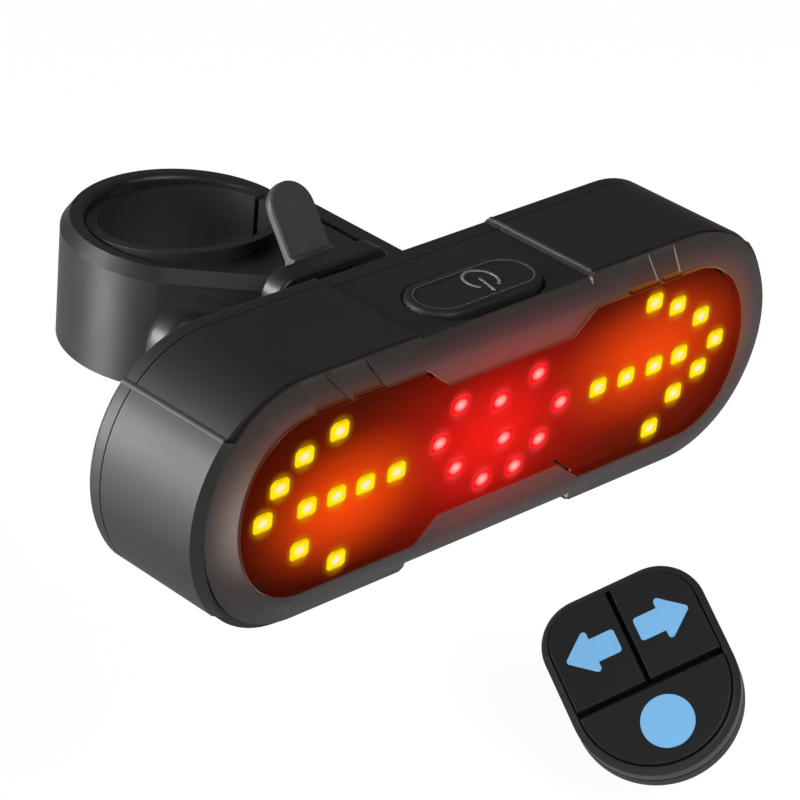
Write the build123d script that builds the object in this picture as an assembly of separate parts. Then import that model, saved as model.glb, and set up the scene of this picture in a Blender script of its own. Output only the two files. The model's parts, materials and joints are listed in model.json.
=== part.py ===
from build123d import *
from math import asin, cos, degrees, radians, sin, sqrt, tan
import os

os.makedirs("parts", exist_ok=True)

# Driving sizes, in millimetres. The seat post runs along Z through the origin, and the lens faces -Y.
post_diameter = 27.2
bar_diameter = 22.2
post_to_lens = 71.2
light_length = 116.4
light_height = 38.6
light_depth = 24.0

# Fits
clearance = 0.1
running_gap = 0.2
cut_overrun = 1.0

# Ends of the light: a tight corner arc above and below a wider nose arc
corner_share = 0.88
nose_share = 1.114

# Housing
housing_wall = 2.2
recess_depth = 0.9
recess_half_width = 17.0
end_pad_step = 0.4
end_pad_share = 0.705
collar_width = 2.2
collar_groove = 0.6
collar_height = 1.1
collar_taper = 35
cover_depth = 2.9
seam = 0.2
cover_edge_radius = 1.0
boss_radius = 3.2
boss_start = 7.2
boss_z_share = 0.42
cover_screw_radius = 1.2
cover_screw_head_radius = 2.4
cover_screw_head_depth = 1.3
cover_screw_length = 9.0
seal_inset = 1.1
seal_width = 0.8
seal_thickness = 0.8
cover_spigot = 1.6

# Bezel and lens
bezel_rim_depth = 1.8
bezel_inner_depth = 0.5
bezel_edge = 0.5
bezel_slope_width = 4.2
bezel_height_step = 0.25
window_inset_share = 0.254
waist_half_width = 12.6
waist_flare = 4.4
waist_drop_share = 0.187
waist_radius = 0.9
lens_thickness = 0.9
lens_side_wall = 0.5
lens_flange_width = 1.6
lens_flange_depth = 2.1
lens_edge_radius = 0.2
spigot_length = 2.5
spigot_wall = 1.1
center_chamfer_drop = 1.7
center_chamfer_depth = 0.7
flute_depth = 0.35
flute_notch = 0.5
flute_lines_left_shares = ((-0.706, -0.653), (-0.637, -0.545), (-0.620, -0.527), (-0.500, -0.433))
flute_lines_right_shares = ((0.413, 0.420), (0.490, 0.528), (0.507, 0.545), (0.590, 0.610))

# Light engine. LED places are shares of the half length and half height of the light.
led_size = 2.9
led_corner = 0.7
led_face_depth = 1.1
mask_depth = 3.4
board_thickness = 1.6
board_inset = 1.9
amber_left_shares = (
    (-0.794, -0.036), (-0.747, 0.202), (-0.674, 0.389), (-0.565, 0.492),
    (-0.667, -0.389), (-0.541, -0.605), (-0.653, -0.052), (-0.557, -0.052),
    (-0.462, -0.052), (-0.359, -0.052),
)
amber_right_shares = (
    (0.794, 0.0), (0.723, 0.264), (0.624, 0.440), (0.531, 0.549),
    (0.739, -0.212), (0.651, -0.352), (0.572, -0.590), (0.655, -0.016),
    (0.560, -0.026), (0.454, -0.026), (0.349, -0.021),
)
red_shares = (
    (0.115, 0.321), (-0.014, 0.212), (0.210, -0.010), (-0.156, 0.311), (0.012, -0.130),
    (0.143, -0.264), (-0.218, 0.047), (-0.153, -0.223), (0.062, -0.420), (-0.053, -0.420),
)
chip_size = 7.0
chip_height = 1.3
chip_shares = (-0.55, -0.2, 0.5)
battery_length = 52.0
battery_depth = 9.5
battery_gap = 0.5
battery_base_gap = 1.5

# Power button
button_length = 23.2
button_width = 12.0
button_centre_depth = 9.1
button_rise = 0.9
button_edge_radius = 0.85
button_travel = 0.6
button_flange_length = 25.6
button_flange_width = 7.6
button_flange_thickness = 0.8
button_stem_radius = 1.5
button_rim_chamfer = 0.35
spigot_notch_drop = 2.1
switch_size = 4.6
switch_height = 1.5
switch_plunger_radius = 1.0
switch_plunger_height = 0.5
button_board_thickness = 1.0
button_board_length = 22.0
button_board_width = 9.0

# Charging port on the underside
port_shell_length = 9.0
port_shell_height = 3.3
port_shell_depth = 7.4
port_wall = 0.35
port_cover_length = 15.0
port_cover_width = 8.0
port_cover_thickness = 1.0
port_plug_height = 0.4
port_centre_depth = 12.6
port_pad_thickness = 2.2
port_pad_margin = 1.3

# Rail on the rear cover and the receiver that holds it
rail_neck_half = 5.0
rail_head_half = 8.0
rail_bottom = 9.5
rail_top = 9.0
rail_head_gap = 0.12
receiver_gap = 1.3
receiver_half_width = 11.5
receiver_lip = 2.7
receiver_back_y = -30.0
receiver_wall = 4.2
receiver_floor = 2.7
receiver_cheek_top = 4.0
receiver_ridge_top = 11.0
receiver_corner_radius = 3.6
receiver_bottom_radius = 2.0
receiver_screw_x = 5.6
receiver_screw_drop = 6.5
receiver_screw_radius = 1.3
receiver_screw_head_radius = 2.3
receiver_screw_head_depth = 1.8
receiver_screw_length = 8.6

# Release tab
latch_turn_per_mm = 0.5
latch_pivot_y = -27.0
latch_pivot_z = 1.5
latch_barrel_radius = 2.2
latch_pin_radius = 1.0
latch_pin_length = 16.0
latch_slot_half = 4.6
latch_half_width = 4.2
latch_nose_half = 3.0
latch_nose_z = 7.0
latch_nose_height = 2.0
latch_nose_reach = 0.7
latch_nose_swing = 1.6
latch_gap = 0.6
latch_arm_thickness = 2.0
tab_thickness = 1.6
tab_base_z = 9.0
tab_length = 12.6
tab_lean = 37.0

# Clamp band round the post
liner_wall = 1.9
band_wall = 3.8
band_top = 4.7
band_bottom = -15.5
band_chamfer = 1.4
band_chamfer_height = 2.0
band_inner_round = 1.0
liner_tilt = 7.4
liner_top_front = 6.9
liner_bottom_gap = 0.6
neck_left = 12.0
neck_right = 16.6
neck_bottom = -13.0
saddle_left = 24.0
saddle_front_y = -30.0
saddle_thickness = 5.5
saddle_top = 2.0
saddle_end_radius = 6.5
saddle_edge_radius = 1.2
slit_width = 1.0
ear_thickness = 3.6
ear_front_y = -29.4
ear_edge_radius = 1.6
clamp_screw_radius = 1.6
clamp_screw_y = -20.6
clamp_screw_length = 15.0
clamp_screw_head_radius = 3.0
clamp_screw_head_height = 2.2
nut_across = 5.5
nut_thickness = 2.4
nut_distance = 4.0

# Remote on the handlebar, in its own frame: X along the bar, Z out of the keys
remote_place = (122.6, -4.1, -124.5)
remote_turn = (20.9, -38.5, -16.1)
remote_width = 34.0
remote_top = 20.2
remote_corner_radius = 9.6
remote_bottom_gap = 3.4
remote_rim = 1.65
remote_key_rise = 0.9
remote_frame_depth = 4.4
remote_base_depth = 4.2
remote_wall = 1.0
remote_edge_chamfer = 1.1
remote_bottom_radius = 1.0
key_depth = 2.2
key_flange = 0.55
key_flange_thickness = 0.6
key_travel = 0.5
key_edge_radius = 0.35
key_cross_y = -2.3
key_cross_gap = 1.3
key_split_gap = 0.9
arrow_tip = 13.3
arrow_neck = 7.2
arrow_tail = 2.1
arrow_half = 5.15
arrow_shaft_half = 2.5
arrow_height = 8.45
arrow_radius = 0.7
inlay_depth = 0.4
inlay_gap = 0.05
dot_radius = 5.35
dot_drop = 10.8
dome_radius = 2.4
dome_height = 0.5
remote_board_thickness = 1.0
cell_radius = 10.0
cell_thickness = 2.0
cell_gap = 0.15
contact_width = 5.0
contact_thickness = 0.3
remote_screw_radius = 0.9
remote_screw_head_radius = 1.7
remote_boss_radius = 2.0
remote_seal_thickness = 0.5
cradle_width = 15.0
cradle_drop = 5.6
bar_pad_wall = 1.0
strap_thickness = 2.0
strap_peg_radius = 1.6
strap_peg_length = 2.8
strap_peg_drop = 2.4

# Worked out from the sizes above
lens_y = -post_to_lens
half_length = light_length / 2
half_height = light_height / 2
end_pad_half_height = end_pad_share * half_height
window_inset = window_inset_share * half_height
waist_drop = waist_drop_share * half_height
housing_front = bezel_rim_depth + bezel_edge
parting = light_depth - cover_depth
board_front = housing_front + spigot_length + clearance
board_back = board_front + board_thickness
recess_z = half_height - recess_depth
cavity_z = half_height - housing_wall
post_radius = post_diameter / 2
band_inner = post_radius + liner_wall + clearance
band_outer = band_inner + band_wall
band_height = band_top - band_bottom
channel_back_y = receiver_back_y - receiver_wall
rail_head_front = light_depth + receiver_gap + receiver_lip + running_gap
rail_head_back = post_to_lens + channel_back_y - rail_head_gap
receiver_front_y = lens_y + light_depth + receiver_gap
rail_height = rail_top + rail_bottom
bar_radius = bar_diameter / 2


def sheet(depth):
    """Plane across the light at a depth behind the lens face, looking at the lens."""
    return Plane(origin=(0, lens_y + depth, 0), x_dir=(1, 0, 0), z_dir=(0, -1, 0))


def slab(outline, front, back):
    return extrude(sheet(back) * outline, amount=back - front, dir=(0, -1, 0))


def across(profile, half_width):
    """Push a profile drawn in the YZ plane equally to both sides of X."""
    return extrude(Plane.YZ.offset(-half_width) * profile, amount=2 * half_width, dir=(1, 0, 0))


def block(x_from, x_to, y_from, y_to, z_from, z_to):
    centre = ((x_from + x_to) / 2, (y_from + y_to) / 2, (z_from + z_to) / 2)
    return Pos(*centre) * Box(x_to - x_from, y_to - y_from, z_to - z_from)


def end_rounded(length, height, inset=0):
    """Long outline whose ends are a corner arc, a nose arc and a corner arc."""
    half = height / 2
    corner = corner_share * half
    nose = nose_share * half
    lean = asin((half - corner) / (nose - corner))
    nose_x = length / 2 - nose
    corner_x = nose_x + (nose - corner) * cos(lean)
    corner_z = half - corner
    turn = degrees(lean)
    edge = half - inset
    lines = [
        CenterArc((corner_x, corner_z), corner - inset, turn, 90 - turn),
        CenterArc((nose_x, 0), nose - inset, -turn, 2 * turn),
        CenterArc((corner_x, -corner_z), corner - inset, -90, 90 - turn),
        Line((corner_x, -edge), (-corner_x, -edge)),
        CenterArc((-corner_x, -corner_z), corner - inset, 180 + turn, 90 - turn),
        CenterArc((-nose_x, 0), nose - inset, 180 - turn, 2 * turn),
        CenterArc((-corner_x, corner_z), corner - inset, 90, 90 - turn),
        Line((-corner_x, edge), (corner_x, edge)),
    ]
    return make_face(lines)


def housing_outline(inset=0):
    return end_rounded(light_length, light_height, inset)


def bezel_outline(inset=0):
    return end_rounded(light_length - 2 * collar_width, light_height - 2 * bezel_height_step, inset)


def recess_cutter():
    """The shallow middle step, cut alike into the top and the underside."""
    outer = half_height + cut_overrun
    foot = recess_half_width
    brow = recess_half_width + recess_depth + cut_overrun
    profile = Polygon((-brow, outer), (-foot, recess_z), (foot, recess_z), (brow, outer), align=None)
    upper = slab(profile, -cut_overrun, light_depth + cut_overrun)
    return upper + mirror(upper, about=Plane.XY)


def middle_outline():
    """Outline above and below the crease lines, a little shorter than at the ends."""
    return end_rounded(light_length - 2 * end_pad_step, light_height)


def shell_skin(front, back):
    """Outer form that the housing and the rear cover share, with raised skin round both ends."""
    pad_band = Rectangle(2 * light_length, 2 * end_pad_half_height)
    return slab(middle_outline() + (housing_outline() & pad_band), front, back)


def button_sketch(length, width):
    return SlotOverall(length, width)


def top_slab(sketch, bottom, top, depth):
    place = Plane(origin=(0, lens_y + depth, bottom), x_dir=(1, 0, 0), z_dir=(0, 0, 1))
    return extrude(place * sketch, amount=top - bottom, dir=(0, 0, 1))


def boss_places():
    x = half_length - housing_wall - 2 * boss_radius + boss_radius / 2
    z = boss_z_share * half_height
    return [(side * x, rise * z) for side in (-1, 1) for rise in (-1, 1)]


def y_rod(radius, x, z, front, back):
    """Cylinder along Y between two depths behind the lens face."""
    return extrude(sheet(back) * Pos(x, z) * Circle(radius), amount=back - front)


def main_housing():
    body = shell_skin(housing_front, parting)
    lip = extrude(sheet(housing_front) * housing_outline(), amount=collar_height, taper=collar_taper)
    lip -= slab(bezel_outline(-collar_groove), -cut_overrun, housing_front)
    reach = 2 * half_length
    lip &= block(-reach, reach, lens_y - cut_overrun, lens_y + housing_front,
                 -end_pad_half_height, end_pad_half_height)
    cavity = slab(housing_outline(housing_wall), -cut_overrun, light_depth)
    body = body - cavity
    for x, z in boss_places():
        body += y_rod(boss_radius, x, z, boss_start, parting)
        body -= y_rod(cover_screw_radius, x, z, parting - cover_screw_length, parting + cut_overrun)
    body += lip
    body -= recess_cutter()
    body -= slab(seal_groove(0), parting - seal_thickness, parting + cut_overrun)
    pad_half_x = port_cover_length / 2 + port_pad_margin
    pad_half_y = port_cover_width / 2 + port_pad_margin
    port_y = lens_y + port_centre_depth
    body += block(-pad_half_x, pad_half_x, port_y - pad_half_y, port_y + pad_half_y,
                  -cavity_z - clearance, -cavity_z + port_pad_thickness)
    cover_half_x = port_cover_length / 2 + running_gap
    cover_half_y = port_cover_width / 2 + running_gap
    pocket_top = -recess_z + port_cover_thickness + running_gap
    body -= block(-cover_half_x, cover_half_x, port_y - cover_half_y, port_y + cover_half_y,
                  -recess_z - cut_overrun, pocket_top)
    shell_hole = RectangleRounded(port_shell_length + 2 * clearance, port_shell_height + 2 * clearance,
                                  port_shell_height / 2)
    body -= top_slab(shell_hole, -half_height, 0, port_centre_depth)
    hole = button_sketch(button_length + 2 * running_gap, button_width + 2 * running_gap)
    body -= top_slab(hole, cavity_z - cut_overrun, half_height + cut_overrun, button_centre_depth)
    rim = [e for e in body.edges().filter_by(Plane.XY)
           if abs(e.center().Z - recess_z) < clearance and abs(e.center().X) < button_length / 2 + clearance
           and abs(e.center().Y - lens_y - button_centre_depth) < button_width / 2 + running_gap + clearance]
    return chamfer(rim, button_rim_chamfer)


def rear_cover():
    body = shell_skin(parting + seam, light_depth)
    rear_edges = [e for e in body.edges() if abs(e.center().Y - lens_y - light_depth) < clearance]
    body = fillet(rear_edges, cover_edge_radius)
    body += slab(housing_outline(housing_wall + clearance) - housing_outline(housing_wall + cover_spigot),
                 parting - cover_spigot, parting + seam)
    body -= recess_cutter()
    for x, z in boss_places():
        body -= y_rod(boss_radius + clearance, x, z, 0, parting + seam)
        body -= y_rod(cover_screw_radius + clearance, x, z, 0, light_depth + cut_overrun)
        body -= y_rod(cover_screw_head_radius + clearance, x, z,
                      light_depth - cover_screw_head_depth, light_depth + cut_overrun)
    body += rail()
    return body


def ramp_rise():
    """How far the release tab's nose draws back for each millimetre of lift."""
    return (latch_nose_z - latch_pivot_z) * radians(latch_turn_per_mm)


def rail():
    front = lens_y + rail_head_front
    neck = block(-rail_neck_half, rail_neck_half, lens_y + light_depth - cut_overrun, front,
                 -rail_bottom, rail_top)
    back = lens_y + rail_head_back
    ramp_length = rail_height - 2 * (rail_top - latch_nose_z + latch_nose_height / 2)
    ramp_top = latch_nose_z - latch_nose_height / 2
    inner = back - ramp_length * ramp_rise()
    profile = Polygon((front, -rail_bottom), (back, -rail_bottom), (back, ramp_top - ramp_length),
                      (inner, ramp_top), (inner, rail_top), (front, rail_top), align=None)
    head = across(profile, rail_head_half)
    foot = [e for e in head.edges().filter_by(Axis.Y) if e.center().Z < 0]
    return neck + chamfer(foot, receiver_corner_radius / 2)


def seal_groove(gap):
    """Ring within the wall, clear of the recess."""
    return housing_outline(seal_inset + gap) - housing_outline(seal_inset + seal_width - gap)


def cover_seal():
    return slab(seal_groove(clearance / 2), parting - seal_thickness, parting + seam)


def cover_screws():
    group = []
    head_front = light_depth - cover_screw_head_depth
    for x, z in boss_places():
        tip = parting - cover_screw_length + running_gap
        shank = y_rod(cover_screw_radius - clearance, x, z, tip, head_front)
        head = y_rod(cover_screw_head_radius, x, z, head_front, light_depth - running_gap)
        socket = y_rod(cover_screw_radius, x, z, head_front + cover_screw_head_depth / 2, light_depth)
        group.append(shank + head - socket)
    return group


def flute_zones(z_low, z_high):
    """Slanted strips of the bezel that lie a little lower, three creases a side."""
    outer_z = half_height + cut_overrun
    inner_z = half_height - window_inset - bezel_height_step
    strips = []
    for lines in (flute_lines_left_shares, flute_lines_right_shares):
        for first, second in ((lines[0], lines[1]), (lines[2], lines[3])):
            strips.append(Polygon(
                (first[0] * half_length, outer_z), (second[0] * half_length, outer_z),
                (second[1] * half_length, inner_z), (first[1] * half_length, inner_z), align=None))
    strips = Sketch() + strips
    band = Pos(0, (z_low + z_high) / 2) * Rectangle(light_length, z_high - z_low)
    return strips & band


def window_outline():
    face = bezel_outline(window_inset)
    edge = half_height - bezel_height_step - window_inset
    waist_z = edge - waist_drop
    high = edge + cut_overrun
    slope = waist_flare / waist_drop
    spread = waist_half_width + waist_flare + cut_overrun * slope
    notch = Polygon((-spread, high), (-waist_half_width, waist_z), (waist_half_width, waist_z),
                    (spread, high), align=None)
    face = face - notch - mirror(notch, about=Plane.XZ)
    inner = [v for v in face.vertices() if abs(v.X) < spread]
    face = fillet(inner, waist_radius)
    return face


def lens_outline():
    """Window with the small steps where the flutes run into it."""
    edge = half_height - bezel_height_step - window_inset
    steps = flute_zones(edge - flute_notch, edge + flute_notch)
    return window_outline() + steps


def bezel_blank():
    slope = loft([sheet(bezel_rim_depth) * bezel_outline(), sheet(bezel_inner_depth) *
                  bezel_outline(bezel_slope_width)], ruled=True)
    return slope + slab(bezel_outline(), bezel_rim_depth, housing_front)


def front_bezel():
    blank = bezel_blank()
    zones = slab(flute_zones(0, half_height + cut_overrun), -cut_overrun, bezel_rim_depth)
    body = (blank - zones) + ((Pos(0, flute_depth, 0) * blank) & zones)
    spigot = slab(housing_outline(housing_wall + clearance), housing_front, housing_front + spigot_length)
    body += spigot
    pocket = housing_outline(housing_wall + clearance + spigot_wall)
    body -= slab(pocket, lens_flange_depth, board_front)
    body -= slab(offset(lens_outline(), clearance), -cut_overrun, lens_flange_depth + cut_overrun)
    body -= recess_cutter()
    crease_z = recess_z - center_chamfer_drop
    wedge = Polygon((lens_y - cut_overrun, crease_z), (lens_y + bezel_inner_depth, crease_z),
                    (lens_y + bezel_rim_depth + center_chamfer_depth, recess_z + clearance),
                    (lens_y - cut_overrun, recess_z + clearance), align=None)
    wedge = across(wedge, recess_half_width)
    body = body - wedge - mirror(wedge, about=Plane.XY)
    notch_half = button_flange_length / 2 + running_gap
    body -= block(-notch_half, notch_half, lens_y + housing_front, lens_y + board_front,
                  cavity_z - spigot_notch_drop, half_height)
    return body


def lens_window():
    face = lens_outline()
    back = lens_flange_depth + lens_thickness
    dome = slab(face, 0, back)
    front_edges = [e for e in dome.edges() if abs(e.center().Y - lens_y) < clearance / 2]
    dome = fillet(front_edges, lens_edge_radius)
    flange = slab(bezel_outline(window_inset - lens_flange_width), lens_flange_depth + clearance, back)
    inside = slab(offset(window_outline(), -lens_side_wall), lens_thickness, back + cut_overrun)
    return dome + flange - inside


def led_places(shares):
    return [(x * half_length, z * half_height) for x, z in shares]


def light_mask():
    face = offset(window_outline(), -lens_side_wall - running_gap)
    plate = slab(face, led_face_depth - clearance, led_face_depth + mask_depth)
    hole = RectangleRounded(led_size + 2 * clearance, led_size + 2 * clearance, led_corner)
    places = led_places(amber_left_shares + amber_right_shares + red_shares)
    return plate - slab(Sketch() + [Pos(x, z) * hole for x, z in places], 0, board_front)


def leds(shares):
    square = RectangleRounded(led_size, led_size, led_corner)
    return [slab(Pos(x, z) * square, led_face_depth, board_front) for x, z in led_places(shares)]


def led_board():
    return slab(housing_outline(housing_wall + board_inset), board_front, board_back)


def control_chips():
    chip = RectangleRounded(chip_size, chip_size, chip_height / 2)
    return [slab(Pos(share * half_length, 0) * chip, board_back, board_back + chip_height)
            for share in chip_shares]


def battery_front():
    return board_back + chip_height + battery_gap


def battery():
    top = button_board_top() - button_board_thickness - battery_gap
    low = usb_low() + port_shell_depth + battery_base_gap
    cell = Pos(0, (top + low) / 2) * Rectangle(battery_length, top - low)
    pouch = slab(cell, battery_front(), battery_front() + battery_depth)
    return fillet(pouch.edges().filter_by(Axis.X) + pouch.edges().filter_by(Axis.Z), battery_depth / 6)


def battery_pad():
    box = battery().bounding_box()
    margin = battery_depth / 2
    front = box.max.Y + clearance
    return block(box.min.X + margin, box.max.X - margin, front, lens_y + parting + seam - clearance,
                 box.min.Z + margin, box.max.Z - margin)


def button_rest_top():
    return recess_z + button_rise


def power_button():
    cap = top_slab(button_sketch(button_length, button_width), cavity_z - clearance, button_rest_top(),
                   button_centre_depth)
    cap = fillet(cap.edges().filter_by(Plane.XY).group_by(Axis.Z)[-1], button_edge_radius)
    flange = Rectangle(button_flange_length, button_flange_width)
    flange_bottom = cavity_z - clearance - button_flange_thickness
    cap += top_slab(flange, flange_bottom, cavity_z - clearance, button_centre_depth)
    cap += top_slab(Circle(button_stem_radius), stem_bottom(), flange_bottom, button_centre_depth)
    return cap


def stem_bottom():
    return cavity_z - clearance - button_flange_thickness - button_stem_radius / 2


def switch_top():
    return stem_bottom() - button_travel - clearance


def button_board_top():
    return switch_top() - switch_plunger_height - switch_height


def tact_switch():
    base = button_board_top()
    high = base + switch_height
    body = top_slab(Rectangle(switch_size, switch_size), base, high, button_centre_depth)
    return body + top_slab(Circle(switch_plunger_radius), high, switch_top(), button_centre_depth)


def button_board():
    top = button_board_top()
    centre = board_back + clearance + button_board_width / 2
    plate = Rectangle(button_board_length, button_board_width)
    return top_slab(plate, top - button_board_thickness, top, centre)


def usb_low():
    return -recess_z + port_cover_thickness + port_plug_height + 2 * running_gap


def usb_socket():
    low = usb_low()
    outer = RectangleRounded(port_shell_length, port_shell_height, port_shell_height / 2 - clearance)
    inner = RectangleRounded(port_shell_length - 2 * port_wall, port_shell_height - 2 * port_wall,
                             port_shell_height / 2 - clearance - port_wall)
    shell = top_slab(outer, low, low + port_shell_depth, port_centre_depth)
    shell -= top_slab(inner, low - cut_overrun, low + port_shell_depth - port_wall, port_centre_depth)
    tongue = Rectangle(port_shell_length / 2, port_shell_height / 4)
    return shell + top_slab(tongue, low + 2 * port_wall, low + port_shell_depth, port_centre_depth)


def port_cover():
    flap = RectangleRounded(port_cover_length, port_cover_width, port_cover_width / 4)
    flap = top_slab(flap, -recess_z, -recess_z + port_cover_thickness, port_centre_depth)
    plug = RectangleRounded(port_shell_length - 2 * running_gap, port_shell_height - 2 * running_gap,
                            port_shell_height / 2 - 2 * running_gap)
    return flap + top_slab(plug, -recess_z, -recess_z + port_cover_thickness + port_plug_height,
                           port_centre_depth)


def receiver_block():
    bottom = -rail_bottom - clearance - receiver_floor
    front = receiver_front_y
    body = block(-receiver_half_width, receiver_half_width, front, receiver_back_y,
                 bottom, receiver_ridge_top)
    top_edges = [e for e in body.edges().filter_by(Axis.Y) if e.center().Z > 0]
    body = fillet(top_edges, receiver_corner_radius)
    low_edges = [e for e in body.edges().filter_by(Axis.Y) if e.center().Z < bottom + clearance]
    body = fillet(low_edges, receiver_bottom_radius)
    reach = receiver_half_width + cut_overrun
    body -= block(-reach, reach, front - cut_overrun, channel_back_y + clearance, receiver_cheek_top,
                  receiver_ridge_top + cut_overrun)
    high = receiver_ridge_top + cut_overrun
    head_half = rail_head_half + running_gap
    neck_half = rail_neck_half + running_gap
    body -= block(-head_half, head_half, front + receiver_lip, channel_back_y, -rail_bottom - clearance, high)
    body -= block(-neck_half, neck_half, front - cut_overrun, channel_back_y, -rail_bottom - clearance, high)
    window_half = latch_nose_half + running_gap
    window_low = latch_nose_z - latch_nose_height / 2 - 2 * running_gap
    window_high = latch_nose_z + latch_nose_height / 2 + latch_nose_swing
    body -= block(-window_half, window_half, channel_back_y - cut_overrun, receiver_back_y + cut_overrun,
                  window_low, window_high)
    ridge = [e for e in body.edges().filter_by(Axis.X) if e.center().Z > receiver_ridge_top - clearance]
    body = fillet(ridge, receiver_floor / 4)
    for x in (-receiver_screw_x, receiver_screw_x):
        body -= axis_rod(receiver_screw_radius + clearance, x, -receiver_screw_drop,
                         channel_back_y - cut_overrun, receiver_back_y + cut_overrun)
        body -= axis_rod(receiver_screw_head_radius + clearance, x, -receiver_screw_drop,
                         channel_back_y - cut_overrun, channel_back_y + receiver_screw_head_depth)
    return body


def axis_rod(radius, x, z, y_from, y_to):
    place = Plane(origin=(x, y_from, z), x_dir=(1, 0, 0), z_dir=(0, 1, 0))
    return extrude(place * Circle(radius), amount=y_to - y_from)


def cross_rod(radius, y, z, x_from, x_to):
    place = Plane(origin=(x_from, y, z), x_dir=(0, 1, 0), z_dir=(1, 0, 0))
    return extrude(place * Circle(radius), amount=x_to - x_from)


def receiver_screws():
    group = []
    for x in (-receiver_screw_x, receiver_screw_x):
        head_back = channel_back_y + receiver_screw_head_depth
        head = axis_rod(receiver_screw_head_radius, x, -receiver_screw_drop,
                        channel_back_y + running_gap, head_back)
        shank = axis_rod(receiver_screw_radius, x, -receiver_screw_drop, head_back,
                         channel_back_y + receiver_screw_length)
        socket = axis_rod(receiver_screw_radius, x, -receiver_screw_drop, channel_back_y,
                          channel_back_y + receiver_screw_head_depth / 2)
        group.append(head + shank - socket)
    return group


def band_solid():
    """Band round the post: a turned ring with a chamfered outer shoulder and a rounded mouth."""
    shoulder = band_outer - band_chamfer
    profile = make_face(Polyline(
        (band_inner, band_bottom), (band_outer, band_bottom), (band_outer, band_top - band_chamfer_height),
        (shoulder, band_top), (band_inner, band_top), close=True))
    mouth = [v for v in profile.vertices() if v.X < band_inner + clearance]
    profile = fillet(mouth, band_inner_round)
    return revolve(Plane.XZ * profile, Axis.Z)


def ear_outer_x():
    return neck_right + slit_width + ear_thickness


def clamp_band():
    neck_back = -band_inner / 2
    neck = block(-neck_left, neck_right, saddle_front_y, neck_back, neck_bottom, band_top)
    neck = fillet([e for e in neck.edges().filter_by(Axis.Y) if e.center().X < 0], saddle_edge_radius)
    saddle = block(-saddle_left, neck_right, saddle_front_y, saddle_front_y + saddle_thickness,
                   neck_bottom, saddle_top)
    saddle = fillet([e for e in saddle.edges().filter_by(Axis.Y) if e.center().X < 0], saddle_end_radius)
    outline = [e for e in saddle.edges() if abs(e.center().Y - saddle_front_y - saddle_thickness) < clearance]
    rims = [e for e in outline if e.center().X < 0 and e.length < saddle_left]
    saddle = fillet(rims, saddle_edge_radius)
    ear = block(neck_right + slit_width, ear_outer_x(), ear_front_y, 0, band_bottom, band_top)
    ear = fillet([e for e in ear.edges().filter_by(Axis.X) if e.center().Y < ear_front_y + clearance],
                 ear_edge_radius)
    outer_face = [e for e in ear.edges() if abs(e.center().X - ear_outer_x()) < clearance]
    ear = chamfer([e for e in outer_face if e.center().Y < -clearance], ear_edge_radius / 2)
    bore = Pos(0, 0, (band_top + band_bottom) / 2) * Cylinder(band_inner, 2 * band_height)
    body = band_solid() + (neck - bore) + saddle + (ear - bore)
    slit_x = neck_right + slit_width
    body -= block(neck_right, slit_x, ear_front_y - cut_overrun, -slit_width, band_bottom - cut_overrun,
                  band_top + cut_overrun)
    body -= block(band_inner - band_wall / 2, slit_x, -2 * slit_width, -slit_width, band_bottom - cut_overrun,
                  band_top + cut_overrun)
    return cut_for_fasteners(body)


def screw_z():
    return (band_top + band_bottom) / 2


def cut_for_fasteners(body):
    body -= cross_rod(clamp_screw_radius + clearance, clamp_screw_y, screw_z(),
                      neck_right - clamp_screw_length, ear_outer_x() + cut_overrun)
    nut_right = neck_right - nut_distance
    nut_half = nut_across / 2 + clearance
    nut_top = screw_z() + nut_across / sqrt(3) + clearance
    body -= block(nut_right - nut_thickness - clearance, nut_right + clearance, clamp_screw_y - nut_half,
                  clamp_screw_y + nut_half, neck_bottom - cut_overrun, nut_top)
    slot_back = latch_pivot_y + latch_barrel_radius + latch_gap
    slot_low = latch_pivot_z - latch_barrel_radius - 2 * running_gap
    body -= block(-latch_slot_half, latch_slot_half, saddle_front_y - cut_overrun, slot_back, slot_low,
                  band_top + cut_overrun)
    body -= latch_pin()
    for x in (-receiver_screw_x, receiver_screw_x):
        body -= axis_rod(receiver_screw_radius, x, -receiver_screw_drop, saddle_front_y - cut_overrun,
                         channel_back_y + receiver_screw_length + running_gap)
    return body


def post_liner():
    """Rubber sleeve between band and post, cut at a slant so that its front stands higher."""
    low = band_bottom + liner_bottom_gap
    outer = band_inner - clearance
    height = liner_top_front - low + cut_overrun
    tube = Cylinder(outer, height) - Cylinder(post_radius, height)
    tube = Pos(0, 0, low + height / 2) * tube
    tilt = radians(liner_tilt)
    slant = Plane(origin=(0, -outer, liner_top_front), z_dir=(0, sin(tilt), cos(tilt)))
    reach = 4 * outer
    tube -= extrude(slant * Rectangle(reach, reach), amount=reach)
    gap = block(0, 2 * outer, -2 * slit_width, -slit_width, low - cut_overrun, low + 2 * height)
    return tube - gap


def clamp_screw():
    x_head = ear_outer_x()
    shank = cross_rod(clamp_screw_radius, clamp_screw_y, screw_z(),
                      neck_right - clamp_screw_length + running_gap, x_head)
    head = cross_rod(clamp_screw_head_radius, clamp_screw_y, screw_z(),
                     x_head, x_head + clamp_screw_head_height)
    head = fillet(head.edges().group_by(Axis.X)[-1], clamp_screw_head_height / 3)
    socket = Plane(origin=(x_head + clamp_screw_head_height / 2, clamp_screw_y, screw_z()), x_dir=(0, 1, 0),
                   z_dir=(1, 0, 0)) * RegularPolygon(clamp_screw_radius, 6)
    return shank + head - extrude(socket, amount=clamp_screw_head_height)


def clamp_nut():
    x_right = neck_right - nut_distance
    place = Plane(origin=(x_right - nut_thickness, clamp_screw_y, screw_z()), x_dir=(0, 0, 1),
                  z_dir=(1, 0, 0))
    nut = extrude(place * RegularPolygon(nut_across / sqrt(3), 6), amount=nut_thickness)
    return nut - cross_rod(clamp_screw_radius + clearance, clamp_screw_y, screw_z(),
                           x_right - 2 * nut_thickness, x_right + nut_thickness)


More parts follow.
